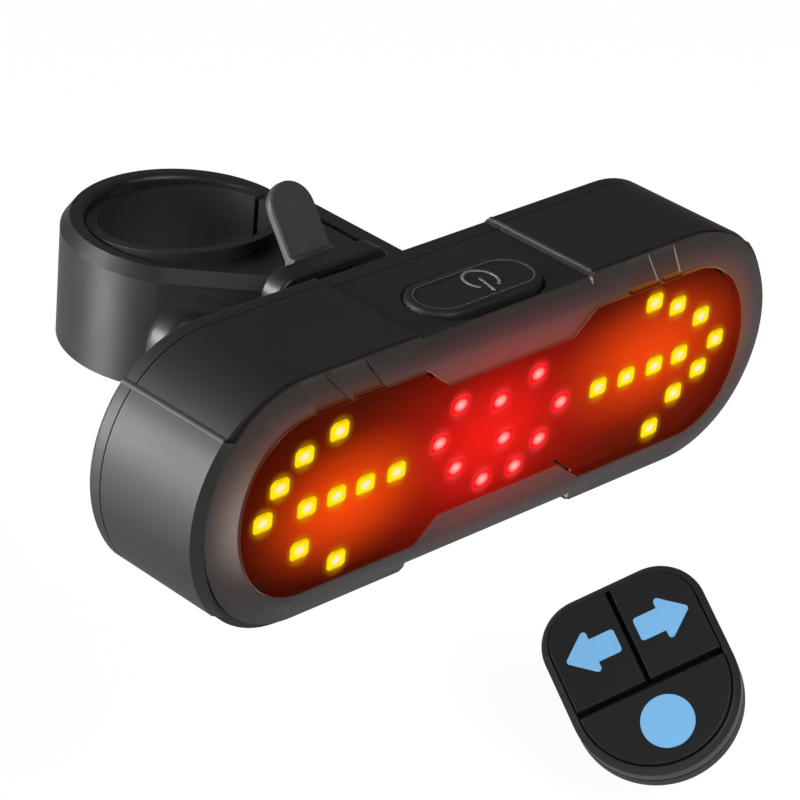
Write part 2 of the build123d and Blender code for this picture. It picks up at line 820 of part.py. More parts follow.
def release_tab():
    half = latch_half_width
    barrel = cross_rod(latch_barrel_radius, latch_pivot_y, latch_pivot_z, -half, half)
    arm_front = receiver_back_y + latch_gap
    arm_back = arm_front + latch_arm_thickness
    arm_top = tab_base_z + tab_thickness
    arm = block(-half, half, arm_front, arm_back, latch_pivot_z, arm_top)
    low = latch_nose_z - latch_nose_height / 2
    high = latch_nose_z + latch_nose_height / 2
    tip = channel_back_y - latch_nose_reach
    profile = Polygon((arm_back, low), (tip + latch_nose_reach, low), (tip, latch_nose_z), (tip, high),
                      (arm_back, high), align=None)
    nose = across(profile, latch_nose_half)
    lean = radians(tab_lean)
    foot = Plane(origin=(0, arm_front + latch_arm_thickness / 2, tab_base_z), x_dir=(1, 0, 0),
                 z_dir=(0, -cos(lean), sin(lean)))
    straight = tab_length - half
    blade = Pos(0, straight / 2) * Rectangle(2 * half, straight) + Pos(0, straight) * Circle(half)
    blade = extrude(foot * blade, amount=tab_thickness / 2, both=True)
    rims = [e for e in blade.edges() if e.center().Z > tab_base_z + tab_thickness]
    blade = fillet(rims, tab_thickness / 4)
    eye = cross_rod(latch_pin_radius + running_gap / 4, latch_pivot_y, latch_pivot_z, -2 * half, 2 * half)
    return barrel + arm + nose + blade - eye


def latch_pin():
    half = latch_pin_length / 2
    return cross_rod(latch_pin_radius, latch_pivot_y, latch_pivot_z, -half, half)


# The remote is built flat, with its key faces at Z zero, and then turned to its place.
def placed(shape):
    here = Location(remote_place, remote_turn)
    if isinstance(shape, list):
        return [here * piece for piece in shape]
    return here * shape


def remote_outline(inset=0):
    """Square shoulders above, a half circle below."""
    half = remote_width / 2 - inset
    top = remote_top - inset
    corner = remote_corner_radius - inset
    low = -remote_bottom_gap
    lines = [
        Line((half, low), (half, top - corner)),
        CenterArc((half - corner, top - corner), corner, 0, 90),
        Line((half - corner, top), (corner - half, top)),
        CenterArc((corner - half, top - corner), corner, 90, 90),
        Line((-half, top - corner), (-half, low)),
        CenterArc((0, low), half, 180, 180),
    ]
    return make_face(lines)


def layer(sketch, low, high):
    return extrude(Plane.XY.offset(low) * sketch, amount=high - low, dir=(0, 0, 1))


def frame_top():
    return -remote_key_rise


def frame_bottom():
    return frame_top() - remote_frame_depth


def remote_floor():
    return frame_bottom() - remote_seal_thickness - remote_base_depth


def remote_boss_places():
    x = remote_width / 2 - remote_wall - remote_boss_radius
    y = remote_top - remote_wall - remote_boss_radius
    inner = remote_corner_radius / 3
    low = remote_bottom_gap + remote_width / 3
    return [(x - inner, y - inner), (inner - x, y - inner), (x - 2 * inner, -low), (2 * inner - x, -low)]


def remote_frame():
    body = layer(remote_outline(), frame_bottom(), frame_top())
    body = chamfer(body.edges().group_by(Axis.Z)[-1], remote_edge_chamfer)
    body -= layer(remote_outline(remote_rim - clearance), frame_top() - key_depth, 0)
    ledge = frame_top() - key_depth + key_flange
    body -= layer(remote_outline(remote_wall), frame_bottom() - cut_overrun, ledge)
    return body


def flange_low():
    return frame_top() - key_depth + key_flange - running_gap - key_flange_thickness


def key_cap(zone, flange_zone, cut):
    top = layer(zone, -key_depth, 0)
    rim = top.edges().group_by(Axis.Z)[-1]
    top = fillet(rim, key_edge_radius)
    top += layer(zone, flange_low(), -key_depth)
    top += layer(flange_zone, flange_low(), flange_low() + key_flange_thickness)
    return top - cut


def key_zones(grow):
    """Outlines of the three keys: two shoulders and the round one."""
    half = remote_width
    split = key_split_gap / 2
    upper = key_cross_y + key_cross_gap / 2
    lower = key_cross_y - key_cross_gap / 2
    inset = remote_rim + clearance - grow
    face = remote_outline(inset)
    zones = []
    for left, right, low, high in ((-half, -split, upper, half), (split, half, upper, half),
                                   (-half, half, -half, lower)):
        area = Pos((left + right) / 2, (low + high) / 2) * Rectangle(right - left, high - low)
        zones.append(face & area)
    return zones


def arrow_sketch(side, grow):
    tip = arrow_tip + grow
    tail = arrow_tail - grow
    neck = arrow_neck - grow
    wing = arrow_half + grow
    shaft = arrow_shaft_half + grow
    mid = arrow_height
    points = [(tip, mid), (neck, mid + wing), (neck, mid + shaft), (tail, mid + shaft), (tail, mid - shaft),
              (neck, mid - shaft), (neck, mid - wing)]
    shape = Polygon(*points, align=None)
    outer = [v for v in shape.vertices() if abs(v.Y - mid) > shaft + clearance or v.X > neck + clearance
             or v.X < tail + clearance]
    shape = fillet(outer, arrow_radius)
    if side < 0:
        shape = mirror(shape, about=Plane.YZ)
    return shape


def dot_sketch(grow):
    return Pos(0, -dot_drop) * Circle(dot_radius + grow)


def sign_sketch(index, grow):
    if index == 2:
        return dot_sketch(grow)
    return arrow_sketch((-1, 1)[index], grow)


def key(index):
    zone = key_zones(0)[index]
    flange_zone = key_zones(key_flange - clearance)[index]
    pocket = layer(sign_sketch(index, inlay_gap), -inlay_depth, cut_overrun)
    return key_cap(zone, flange_zone, pocket)


def inlay(index):
    return layer(sign_sketch(index, 0), -inlay_depth, 0)


def dome_top():
    return flange_low() - key_travel - clearance


def remote_board_top():
    return dome_top() - dome_height


def dome_places():
    return [(-arrow_neck, arrow_height), (arrow_neck, arrow_height), (0, -dot_drop)]


def dome_switches():
    group = []
    for x, y in dome_places():
        group.append(Pos(x, y) * layer(Circle(dome_radius), remote_board_top(), dome_top()))
    return group


def remote_board():
    low = remote_board_top() - remote_board_thickness
    board = layer(remote_outline(remote_wall + 2 * running_gap), low, remote_board_top())
    for x, y in remote_boss_places():
        board -= Pos(x, y) * layer(Circle(remote_boss_radius + running_gap), low - cut_overrun, 0)
    return board


def cell_top():
    return remote_board_top() - remote_board_thickness - contact_thickness - 2 * cell_gap


def coin_cell():
    cell = layer(Circle(cell_radius), cell_top() - cell_thickness, cell_top())
    return chamfer(cell.edges().group_by(Axis.Z)[0], cell_thickness / 6)


def cell_contact():
    top = remote_board_top() - remote_board_thickness - clearance / 2
    strip = Pos(0, cell_radius / 2) * Rectangle(contact_width, cell_radius)
    return layer(strip, top - contact_thickness, top)


def remote_base():
    floor = remote_floor()
    top = frame_bottom() - remote_seal_thickness
    body = layer(remote_outline(), floor, top)
    body = fillet(body.edges().group_by(Axis.Z)[0], remote_bottom_radius)
    body -= layer(remote_outline(remote_wall), floor + remote_wall, top + cut_overrun)
    for x, y in remote_boss_places():
        body += Pos(x, y) * layer(Circle(remote_boss_radius), floor + remote_wall, top)
    body += cradle()
    for x, y in remote_boss_places():
        body -= Pos(x, y) * layer(Circle(remote_screw_radius + clearance), floor - cut_overrun,
                                  top + cut_overrun)
        body -= Pos(x, y) * layer(Circle(remote_screw_head_radius + clearance), floor - cradle_drop,
                                  floor + remote_wall / 2)
    return body


def bar_axis_z():
    return remote_floor() - bar_pad_wall - bar_radius


def bar_rod(radius, width):
    place = Plane(origin=(-width / 2, 0, bar_axis_z()), x_dir=(0, 1, 0), z_dir=(1, 0, 0))
    return extrude(place * Circle(radius), amount=width)


def cradle():
    """Saddle under the base that sits on the bar, with a peg each side for the strap."""
    floor = remote_floor()
    side = bar_radius
    saddle = Pos(0, 0, floor - cradle_drop / 2) * Box(cradle_width, 2 * side, cradle_drop)
    saddle -= bar_rod(bar_radius + bar_pad_wall, 2 * cradle_width)
    peg_z = floor - strap_peg_drop
    for sign in (-1, 1):
        place = Plane(origin=(0, sign * (side - clearance), peg_z), x_dir=(1, 0, 0), z_dir=(0, sign, 0))
        saddle += extrude(place * Circle(strap_peg_radius), amount=strap_peg_length + clearance)
    return saddle


def bar_pad():
    pad = bar_rod(bar_radius + bar_pad_wall - clearance / 2, cradle_width)
    pad -= bar_rod(bar_radius, 2 * cradle_width)
    low = remote_floor() - cradle_drop
    keep = Pos(0, 0, (remote_floor() + low) / 2) * Box(cradle_width, 4 * bar_radius, cradle_drop)
    return pad & keep


def bar_strap():
    """Silicone strap: half round below the bar, two legs up to the pegs."""
    inner = bar_radius
    outer = inner + strap_thickness
    ring = bar_rod(outer, cradle_width) - bar_rod(inner, 2 * cradle_width)
    low_half = Pos(0, 0, bar_axis_z() - outer) * Box(2 * cradle_width, 4 * outer, 2 * outer)
    strap = ring & low_half
    leg_top = remote_floor() - running_gap
    leg_height = leg_top - bar_axis_z()
    peg_z = remote_floor() - strap_peg_drop
    for sign in (-1, 1):
        middle = sign * (inner + strap_thickness / 2)
        leg = Box(cradle_width, strap_thickness, leg_height)
        strap += Pos(0, middle, bar_axis_z() + leg_height / 2) * leg
        place = Plane(origin=(0, 0, peg_z), x_dir=(1, 0, 0), z_dir=(0, sign, 0))
        strap -= extrude(place * Circle(strap_peg_radius + clearance), amount=2 * outer)
    return strap


def remote_seal():
    low = frame_bottom() - remote_seal_thickness
    ring = remote_outline(running_gap) - remote_outline(remote_wall)
    return layer(ring, low, frame_bottom())


def remote_screws():
    group = []
    low = remote_floor() + remote_wall / 2
    for x, y in remote_boss_places():
        shank = layer(Circle(remote_screw_radius), low, low + remote_base_depth - remote_wall)
        head = layer(Circle(remote_screw_head_radius), low - remote_wall / 2 + clearance, low)
        group.append(Pos(x, y) * (shank + head))
    return group


light_nodes = {
    "main_housing": main_housing,
    "rear_cover": rear_cover,
    "cover_seal": cover_seal,
    "cover_screws": cover_screws,
    "front_bezel": front_bezel,
    "lens_window": lens_window,
    "light_mask": light_mask,
    "amber_leds_left": lambda: leds(amber_left_shares),
    "amber_leds_right": lambda: leds(amber_right_shares),
    "red_leds": lambda: leds(red_shares),
    "led_board": led_board,
    "control_chips": control_chips,
    "battery": battery,
    "battery_pad": battery_pad,
    "power_button": power_button,
    "tact_switch": tact_switch,
    "button_board": button_board,
    "usb_socket": usb_socket,
    "port_cover": port_cover,
}
clamp_nodes = {
    "clamp_band": clamp_band,
    "post_liner": post_liner,
    "clamp_screw": clamp_screw,
    "clamp_nut": clamp_nut,
    "rail_receiver": receiver_block,
    "receiver_screws": receiver_screws,
    "release_tab": release_tab,
    "latch_pin": latch_pin,
}
remote_nodes = {
    "remote_frame": remote_frame,
    "remote_base": remote_base,
    "remote_seal": remote_seal,
    "remote_screws": remote_screws,
    "key_left": lambda: key(0),
    "key_right": lambda: key(1),
    "key_round": lambda: key(2),
    "arrow_inlay_left": lambda: inlay(0),
    "arrow_inlay_right": lambda: inlay(1),
    "dot_inlay": lambda: inlay(2),
    "dome_switches": dome_switches,
    "remote_board": remote_board,
    "coin_cell": coin_cell,
    "cell_contact": cell_contact,
    "bar_pad": bar_pad,
    "bar_strap": bar_strap,
}


def save(name, shape):
    if isinstance(shape, list):
        shape = Compound(children=shape)
    export_step(shape, "parts/" + name + ".step")


for name, make in light_nodes.items():
    save(name, make())
for name, make in clamp_nodes.items():
    save(name, make())
for name, make in remote_nodes.items():
    save(name, placed(make()))
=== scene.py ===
import json
import math

import bpy
from mathutils import Matrix, Vector

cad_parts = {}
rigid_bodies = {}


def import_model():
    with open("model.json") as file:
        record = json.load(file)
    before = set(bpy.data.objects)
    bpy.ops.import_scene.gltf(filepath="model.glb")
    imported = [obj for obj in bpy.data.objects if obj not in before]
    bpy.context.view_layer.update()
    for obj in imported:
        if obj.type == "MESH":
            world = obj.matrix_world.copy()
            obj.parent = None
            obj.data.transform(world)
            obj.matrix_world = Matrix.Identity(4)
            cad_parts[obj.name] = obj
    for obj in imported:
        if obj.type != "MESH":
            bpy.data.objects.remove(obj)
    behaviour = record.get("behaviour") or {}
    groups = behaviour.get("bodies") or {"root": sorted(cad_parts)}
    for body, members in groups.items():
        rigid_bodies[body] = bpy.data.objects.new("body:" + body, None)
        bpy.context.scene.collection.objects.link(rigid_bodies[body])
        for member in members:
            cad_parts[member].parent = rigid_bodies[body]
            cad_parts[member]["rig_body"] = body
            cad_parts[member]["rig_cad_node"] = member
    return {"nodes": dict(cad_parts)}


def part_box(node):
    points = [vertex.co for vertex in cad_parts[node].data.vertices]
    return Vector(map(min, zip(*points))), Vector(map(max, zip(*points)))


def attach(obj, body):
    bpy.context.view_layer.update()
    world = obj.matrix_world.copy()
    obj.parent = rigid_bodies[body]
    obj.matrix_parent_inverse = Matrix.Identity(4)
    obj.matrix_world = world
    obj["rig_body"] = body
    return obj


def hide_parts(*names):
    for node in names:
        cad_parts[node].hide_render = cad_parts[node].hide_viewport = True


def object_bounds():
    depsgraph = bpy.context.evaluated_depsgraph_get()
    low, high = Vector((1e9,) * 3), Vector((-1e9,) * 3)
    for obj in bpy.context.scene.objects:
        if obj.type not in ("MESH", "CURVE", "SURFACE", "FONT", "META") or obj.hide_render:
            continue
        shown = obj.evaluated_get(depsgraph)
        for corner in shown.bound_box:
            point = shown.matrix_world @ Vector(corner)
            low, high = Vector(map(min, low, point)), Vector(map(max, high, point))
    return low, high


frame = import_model()
nodes = frame["nodes"]
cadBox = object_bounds()
print("frame loaded:", len(nodes), "nodes")


# Small tools
def mm(value):
    return value / 1000


def toLinear(hexColour):
    parts = [int(hexColour[i:i + 2], 16) / 255 for i in (1, 3, 5)]
    return [p / 12.92 if p <= 0.04045 else ((p + 0.055) / 1.055) ** 2.4 for p in parts] + [1]


def deselectAll():
    bpy.ops.object.select_all(action="DESELECT")


def activate(piece):
    deselectAll()
    piece.select_set(True)
    bpy.context.view_layer.objects.active = piece


def settle(piece, name):
    activate(piece)
    piece.name = name
    piece.data.name = name
    bpy.ops.object.transform_apply(location=True, rotation=True, scale=True)
    return piece


def dress(piece, *materials):
    piece.data.materials.clear()
    for material in materials:
        piece.data.materials.append(material)


def smoothUnder(piece, angle):
    activate(piece)
    bpy.ops.object.shade_smooth_by_angle(angle=math.radians(angle))


def joined(pieces, name):
    deselectAll()
    for piece in pieces:
        piece.select_set(True)
    bpy.context.view_layer.objects.active = pieces[0]
    bpy.ops.object.join()
    return settle(bpy.context.active_object, name)


mergeDistance = 0.002  # mm


def freeCopy(nodeName):
    # a loose copy of a CAD node, merged by distance
    activate(nodes[nodeName])
    bpy.ops.object.duplicate()
    piece = bpy.context.active_object
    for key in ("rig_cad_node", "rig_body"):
        if key in piece:
            del piece[key]
    piece.parent = None
    if piece.data.has_custom_normals:
        bpy.ops.mesh.customdata_custom_splitnormals_clear()
    bpy.ops.object.mode_set(mode="EDIT")
    bpy.ops.mesh.select_all(action="SELECT")
    bpy.ops.mesh.remove_doubles(threshold=mm(mergeDistance))
    bpy.ops.object.mode_set(mode="OBJECT")
    return piece


softening = {"flat": 0.4, "sharp": 34, "smooth": 38, "segments": 2}  # degrees, and steps in the round


def softened(nodeName, edgeWidth, change=None):
    # a moulded node whose sharp edges get the small round that every mould leaves
    piece = freeCopy(nodeName)
    piece.data.materials.clear()
    for face in piece.data.polygons:
        face.material_index = 0
    if change:
        change(piece)
    activate(piece)
    bpy.ops.object.mode_set(mode="EDIT")
    bpy.ops.mesh.select_all(action="SELECT")
    bpy.ops.mesh.dissolve_limited(angle_limit=math.radians(softening["flat"]))
    bpy.ops.mesh.select_all(action="DESELECT")
    bpy.ops.mesh.select_mode(type="EDGE")
    bpy.ops.mesh.edges_select_sharp(sharpness=math.radians(softening["sharp"]))
    # the round's faces take the second material: a paler colour, a painted highlight along the edge
    bpy.ops.mesh.bevel(offset=mm(edgeWidth), segments=softening["segments"], affect="EDGES",
                       clamp_overlap=True, material=1)
    bpy.ops.object.mode_set(mode="OBJECT")
    piece = settle(piece, nodeName + "Shell")
    smoothUnder(piece, softening["smooth"])
    weighting = piece.modifiers.new("evenShading", "WEIGHTED_NORMAL")
    weighting.keep_sharp = True
    bpy.ops.object.modifier_apply(modifier=weighting.name)
    return piece


# Camera: the photograph's place, turn and lens
cameraPlace = {
    "location": (-341.87, -377.35, 249.78),  # mm
    "azimuth": -46.21,
    "elevation": 28.31,
    "roll": 5.30,
    "lens": 163.1,
    "sensor": 36.0,
    "clip": (0.01, 20),  # m
}


def makeCamera(place):
    turn, rise, roll = (math.radians(place[key]) for key in ("azimuth", "elevation", "roll"))
    back = Vector((math.sin(turn) * math.cos(rise), -math.cos(turn) * math.cos(rise), math.sin(rise)))
    level = Vector((math.cos(turn), math.sin(turn), 0))
    right = math.cos(roll) * level + math.sin(roll) * back.cross(level)
    up = back.cross(right)
    bpy.ops.object.camera_add()
    camera = bpy.context.active_object
    camera.name = "photoCamera"
    camera.matrix_world = Matrix.Translation(Vector(place["location"]) / 1000) @ Matrix(
        (right, up, back)).transposed().to_4x4()
    camera.data.lens = place["lens"]
    camera.data.sensor_width = place["sensor"]
    camera.data.clip_start, camera.data.clip_end = place["clip"]
    bpy.context.scene.camera = camera


makeCamera(cameraPlace)
print("camera set")


# Material tools
def addNode(tree, kind, settings=None, links=None):
    node = tree.nodes.new(kind)
    for key, value in (settings or {}).items():
        if isinstance(key, str) and hasattr(node, key):
            setattr(node, key, value)
        else:
            node.inputs[key].default_value = value
    for key, socket in (links or {}).items():
        tree.links.new(socket, node.inputs[key])
    return node


def startMaterial(name, colour, roughness, settings=None):
    material = bpy.data.materials.new(name)
    material.use_nodes = True
    tree = material.node_tree
    shader = tree.nodes["Principled BSDF"]
    shader.inputs["Base Color"].default_value = toLinear(colour)
    shader.inputs["Roughness"].default_value = roughness
    for key, value in (settings or {}).items():
        shader.inputs[key].default_value = value
    return material, tree, shader


def objectPlace(tree):
    return addNode(tree, "ShaderNodeTexCoord").outputs["Object"]


def grainBump(tree, shader, grainMm, depthMm):
    # spark-eroded mould texture: grain and depth in mm
    grain = addNode(tree, "ShaderNodeTexNoise",
                    {"Scale": 1000 / grainMm, "Detail": 2, "Roughness": 0.6},
                    {"Vector": objectPlace(tree)})
    bump = addNode(tree, "ShaderNodeBump", {"Strength": 1.0, "Distance": mm(depthMm)},
                   {"Height": grain.outputs["Fac"]})
    tree.links.new(bump.outputs["Normal"], shader.inputs["Normal"])


def mottle(tree, shader, firstHex, secondHex, spotMm, lowRough, highRough):
    # slow change of colour and gloss across a moulding, in spots of so many mm
    spots = addNode(tree, "ShaderNodeTexNoise",
                    {"Scale": 1000 / spotMm, "Detail": 3, "Roughness": 0.55},
                    {"Vector": objectPlace(tree)})
    colour = addNode(tree, "ShaderNodeMix",
                     {"data_type": "RGBA", 6: toLinear(firstHex), 7: toLinear(secondHex)},
                     {0: spots.outputs["Fac"]})
    gloss = addNode(tree, "ShaderNodeMapRange", {"To Min": lowRough, "To Max": highRough},
                    {"Value": spots.outputs["Fac"]})
    tree.links.new(colour.outputs[2], shader.inputs["Base Color"])
    tree.links.new(gloss.outputs["Result"], shader.inputs["Roughness"])


def lengthOf(tree, vector):
    return addNode(tree, "ShaderNodeVectorMath", {"operation": "LENGTH"}, {0: vector}).outputs["Value"]


def fadeOver(tree, distance, farEnd, nearEnd, farShare, nearShare):
    # smooth change from one share at the far distance to the other at the near one
    fade = addNode(tree, "ShaderNodeMapRange",
                   {"interpolation_type": "SMOOTHSTEP", "From Min": farEnd, "From Max": nearEnd,
                    "To Min": farShare, "To Max": nearShare}, {"Value": distance})
    return fade.outputs["Result"]


def blob(tree, centre, radii):
    # 1 at the centre of an oval on the light's face and 0 at its rim, from millimetres
    (x, z), (halfX, halfZ) = centre, radii
    scaled = addNode(tree, "ShaderNodeMapping",
                     {"Scale": (1000 / halfX, 0, 1000 / halfZ),
                      "Location": (-x / halfX, 0, -z / halfZ)}, {"Vector": objectPlace(tree)})
    return fadeOver(tree, lengthOf(tree, scaled.outputs["Vector"]), 1.0, 0.0, 0.0, 1.0)


def nearWindow(tree, given):
    # 1 beside the window, fading to the bezel's rim: distance from the line between the two end arcs
    apart = addNode(tree, "ShaderNodeSeparateXYZ", links={0: objectPlace(tree)})
    held = addNode(tree, "ShaderNodeClamp", {"Min": -mm(given["arcX"]), "Max": mm(given["arcX"])},
                   {0: apart.outputs["X"]})
    past = addNode(tree, "ShaderNodeMath", {"operation": "SUBTRACT"},
                   {0: apart.outputs["X"], 1: held.outputs[0]})
    flat = addNode(tree, "ShaderNodeCombineXYZ", links={"X": past.outputs[0], "Z": apart.outputs["Z"]})
    return fadeOver(tree, lengthOf(tree, flat.outputs[0]), mm(given["rim"]), mm(given["inner"]),
                    given["rimShare"], 1.0)


def layeredGlow(tree, baseHex, layers):
    # ovals of colour laid one over the other
    colour = None
    for centre, radii, hexColour in layers:
        mix = addNode(tree, "ShaderNodeMix",
                      {"data_type": "RGBA", 6: toLinear(baseHex), 7: toLinear(hexColour)},
                      {0: blob(tree, centre, radii)})
        if colour is not None:
            tree.links.new(colour, mix.inputs[6])
        colour = mix.outputs[2]
    return colour


def shine(tree, shader, colour, strength):
    tree.links.new(colour, shader.inputs["Emission Color"])
    shader.inputs["Emission Strength"].default_value = strength


# Glow seen in the window: (centre x, z), (half width, half height) in mm, colour
windowGlow = {
    "shade": "#2c0702",
    "layers": [
        ((-30, 0), (32, 20), "#741801"),
        ((33, 0), (34, 21), "#8a1e02"),
        ((-1, -1), (36, 23), "#b5140a"),
        ((-30.5, -2.5), (20, 12.5), "#f44a06"),
        ((31, 2), (24, 13), "#ec4606"),
        ((-2, -1), (18, 12), "#ee1a12"),
    ],
    "strength": 1.0,
}
# The same glow painted into the smoked bezel, on its cut edges and on the window's edge, with a painted
# highlight at the bezel's near end
bezelGlow = {
    "layers": [
        ((-34, 6), (42, 21), "#8c4a30"),
        # grey-white oval at the near end: a painted highlight, not glow
        ((-50, 1), (11, 12), "#9c8a80"),
        ((36, 3), (42, 26), "#a04414"),
        ((0, 2), (34, 26), "#b82018"),
    ],
    "fade": {"arcX": 38.9, "rim": 18.4, "inner": 11.6, "rimShare": 0.06},
    "strength": 0.6,
}
# pale emission for the bezel's edges: painted highlight and glow
paintedBezelEdgeGlow = {
    "shade": "#5c5452",
    "layers": [
        ((-34, 0), (34, 28), "#947a70"),
        ((36, 0), (34, 28), "#a07e68"),
        ((0, 0), (34, 28), "#b86e66"),
    ],
    "strength": 1.1,
}
rimGlow = {
    "shade": "#54240e",
    "layers": [
        ((0, 0), (30, 22), "#a03020"),
        ((34, 8), (30, 20), "#8c5a12"),
    ],
    "strength": 0.6,
}


# Materials
def sandedAbs(name, firstHex, secondHex, roughness):
    # black ABS moulded against a spark-eroded tool: dark, with a wide soft sheen and a fine sandy grain
    material, tree, shader = startMaterial(name, firstHex, roughness, {"IOR": 1.36})
    mottle(tree, shader, firstHex, secondHex, 14, roughness - 0.02, roughness + 0.06)
    grainBump(tree, shader, 0.32, 0.012)
    return material


def satinNylon():
    # glass-filled nylon of the clamp: a little greyer and rougher than the housing
    material, tree, shader = startMaterial("satinBlackNylon", "#151617", 0.42, {"IOR": 1.38})
    mottle(tree, shader, "#131415", "#1c1d1e", 9, 0.36, 0.48)
    grainBump(tree, shader, 0.4, 0.014)
    return material


def litTabNylon():
    # the sprung tab: the same nylon painted paler, standing in for the light on its face
    material, tree, shader = startMaterial("paintedLitBlackNylon", "#363637", 0.42, {"IOR": 1.4})
    mottle(tree, shader, "#303031", "#3c3c3d", 7, 0.38, 0.5)
    grainBump(tree, shader, 0.4, 0.014)
    return material


def smokedPolycarbonate():
    # polished smoke-tinted polycarbonate: grey sheen, painted glow beside the window and a painted
    # highlight at its near end
    material, tree, shader = startMaterial("smokedPolycarbonate", "#1d1b1b", 0.34, {"IOR": 1.28})
    mottle(tree, shader, "#2c2928", "#363231", 20, 0.32, 0.38)
    glow = layeredGlow(tree, "#000000", bezelGlow["layers"])
    faded = addNode(tree, "ShaderNodeVectorMath", {"operation": "SCALE"},
                    {0: glow, "Scale": nearWindow(tree, bezelGlow["fade"])})
    shine(tree, shader, faded.outputs[0], bezelGlow["strength"])
    return material


def highlightEdge(name, hexColour, roughness):
    # the round along a moulded edge, painted a shade paler than the faces: a painted highlight along
    # the edge
    return startMaterial(name, hexColour, roughness, {"IOR": 1.5})[0]


def beadHighlightAbs():
    # the same black ABS painted paler for the crease beads: a painted highlight along the creases
    return startMaterial("beadHighlightBlackAbs", "#2b2b2c", 0.6, {"IOR": 1.42})[0]


def paintedBezelEdge():
    # painted highlight and painted glow along the smoked bezel's edges: pale colour with emission
    material, tree, shader = startMaterial("litBezelEdge", "#9a8d88", 0.25, {"IOR": 1.5})
    glow = layeredGlow(tree, paintedBezelEdgeGlow["shade"], paintedBezelEdgeGlow["layers"])
    shine(tree, shader, glow, paintedBezelEdgeGlow["strength"])
    return material


def clearPolycarbonate():
    # polished tinted window over the LEDs: nearly clear, with faint reflections
    return startMaterial("tintedPolycarbonateWindow", "#fff1ec", 0.04,
                         {"IOR": 1.04, "Transmission Weight": 1.0})[0]


def litRim():
    # the window's cut edge, where the light inside runs out: brown orange with a golden end
    material, tree, shader = startMaterial("litPolycarbonateEdge", "#3a1408", 0.25, {"IOR": 1.58})
    shine(tree, shader, layeredGlow(tree, rimGlow["shade"], rimGlow["layers"]), rimGlow["strength"])
    return material


def glowingDiffuser():
    # translucent plate behind the window, lit by the LEDs around it
    material, tree, shader = startMaterial("litDiffuserPlate", "#060100", 0.7,
                                           {"Specular IOR Level": 0.0})
    glow = layeredGlow(tree, windowGlow["shade"], windowGlow["layers"])
    grain = addNode(tree, "ShaderNodeTexNoise", {"Scale": 1000 / 1.2, "Detail": 2},  # flecks of 1.2 mm
                    {"Vector": objectPlace(tree)})
    fleck = addNode(tree, "ShaderNodeMapRange", {"To Min": 0.9, "To Max": 1.1},
                    {"Value": grain.outputs["Fac"]})
    tinted = addNode(tree, "ShaderNodeMix", {"data_type": "RGBA", "blend_type": "MULTIPLY", 0: 1.0},
                     {6: glow, 7: fleck.outputs["Result"]})
    shine(tree, shader, tinted.outputs[2], windowGlow["strength"])
    return material


def fromCapCentre(tree):
    # 0 at the middle of a cap's own UV square and 1 at its sides
    square = addNode(tree, "ShaderNodeUVMap", {"uv_map": "cap"})
    centred = addNode(tree, "ShaderNodeMapping", {"Location": (-1, -1, 0), "Scale": (2, 2, 0)},
                      {"Vector": square.outputs["UV"]})
    return lengthOf(tree, centred.outputs["Vector"])


def ledPhosphor(name, heartHex, faceHex, rimHex, heartSize):
    # silicone-capped LED: bright heart, saturated face, darker rim
    material, tree, shader = startMaterial(name, "#000000", 0.5, {"Specular IOR Level": 0.0})
    ramp = addNode(tree, "ShaderNodeValToRGB", links={"Fac": fromCapCentre(tree)})
    stops = ramp.color_ramp.elements
    stops[0].position, stops[0].color = 0.08, toLinear(heartHex)
    stops[1].position, stops[1].color = heartSize, toLinear(faceHex)
    rim = stops.new(1.0)
    rim.color = toLinear(rimHex)
    shine(tree, shader, ramp.outputs["Color"], 1.0)
    return material


def ledHalo(name, hexColour, strength):
    # light that an LED spreads over the plate beside it
    material, tree, shader = startMaterial(name, "#000000", 1.0, {"Specular IOR Level": 0.0})
    fade = fadeOver(tree, fromCapCentre(tree), 1.0, 0.25, 0.0, strength)
    tree.links.new(fade, shader.inputs["Alpha"])
    shader.inputs["Emission Color"].default_value = toLinear(hexColour)
    shader.inputs["Emission Strength"].default_value = 1.0
    return material


def blackRubber():
    # moulded silicone rubber: matt, with a fine even grain
    material, tree, shader = startMaterial("blackSiliconeRubber", "#121212", 0.6, {"IOR": 1.42})
    mottle(tree, shader, "#101010", "#171717", 6, 0.55, 0.68)
    grainBump(tree, shader, 0.25, 0.008)
    return material


def keySilicone():
    # soft-touch keys: dark grey with pale flecks of grain
    material, tree, shader = startMaterial("softTouchKeySilicone", "#151617", 0.5, {"IOR": 1.38})
    mottle(tree, shader, "#0b0c0d", "#1c1d1e", 0.45, 0.45, 0.6)
    grainBump(tree, shader, 0.3, 0.01)
    return material


def blueInlay():
    # light-blue inlay printed under a clear skin: even colour, satin
    material, tree, shader = startMaterial("lightBluePrintedInlay", "#80c2f6", 0.45, {"IOR": 1.5})
    mottle(tree, shader, "#7cc0f6", "#85c4f4", 1.5, 0.42, 0.5)
    return material


def blackSteel():
    # black-oxide screw: dark metal with a dull shine
    material, tree, shader = startMaterial("blackOxideSteel", "#2a2a2b", 0.38, {"Metallic": 1.0})
    mottle(tree, shader, "#222223", "#343435", 2, 0.3, 0.45)
    return material


def plainSteel():
    # drawn steel: pale metal with a slightly uneven shine
    material, tree, shader = startMaterial("drawnSteel", "#8b8b8a", 0.3, {"Metallic": 1.0})
    mottle(tree, shader, "#7f7f7e", "#979796", 1.2, 0.24, 0.38)
    return material


def solderResist():
    # green solder resist over an epoxy board: smooth, half gloss
    material, tree, shader = startMaterial("greenSolderResist", "#0f4a2a", 0.35)
    mottle(tree, shader, "#0d4425", "#12532f", 3, 0.3, 0.42)
    return material


def epoxyBlack():
    # moulded epoxy, for chips, foam and dark boards: matt black
    material, tree, shader = startMaterial("mouldedEpoxy", "#0d0d0d", 0.6)
    mottle(tree, shader, "#0b0b0b", "#121212", 1.0, 0.5, 0.7)
    return material


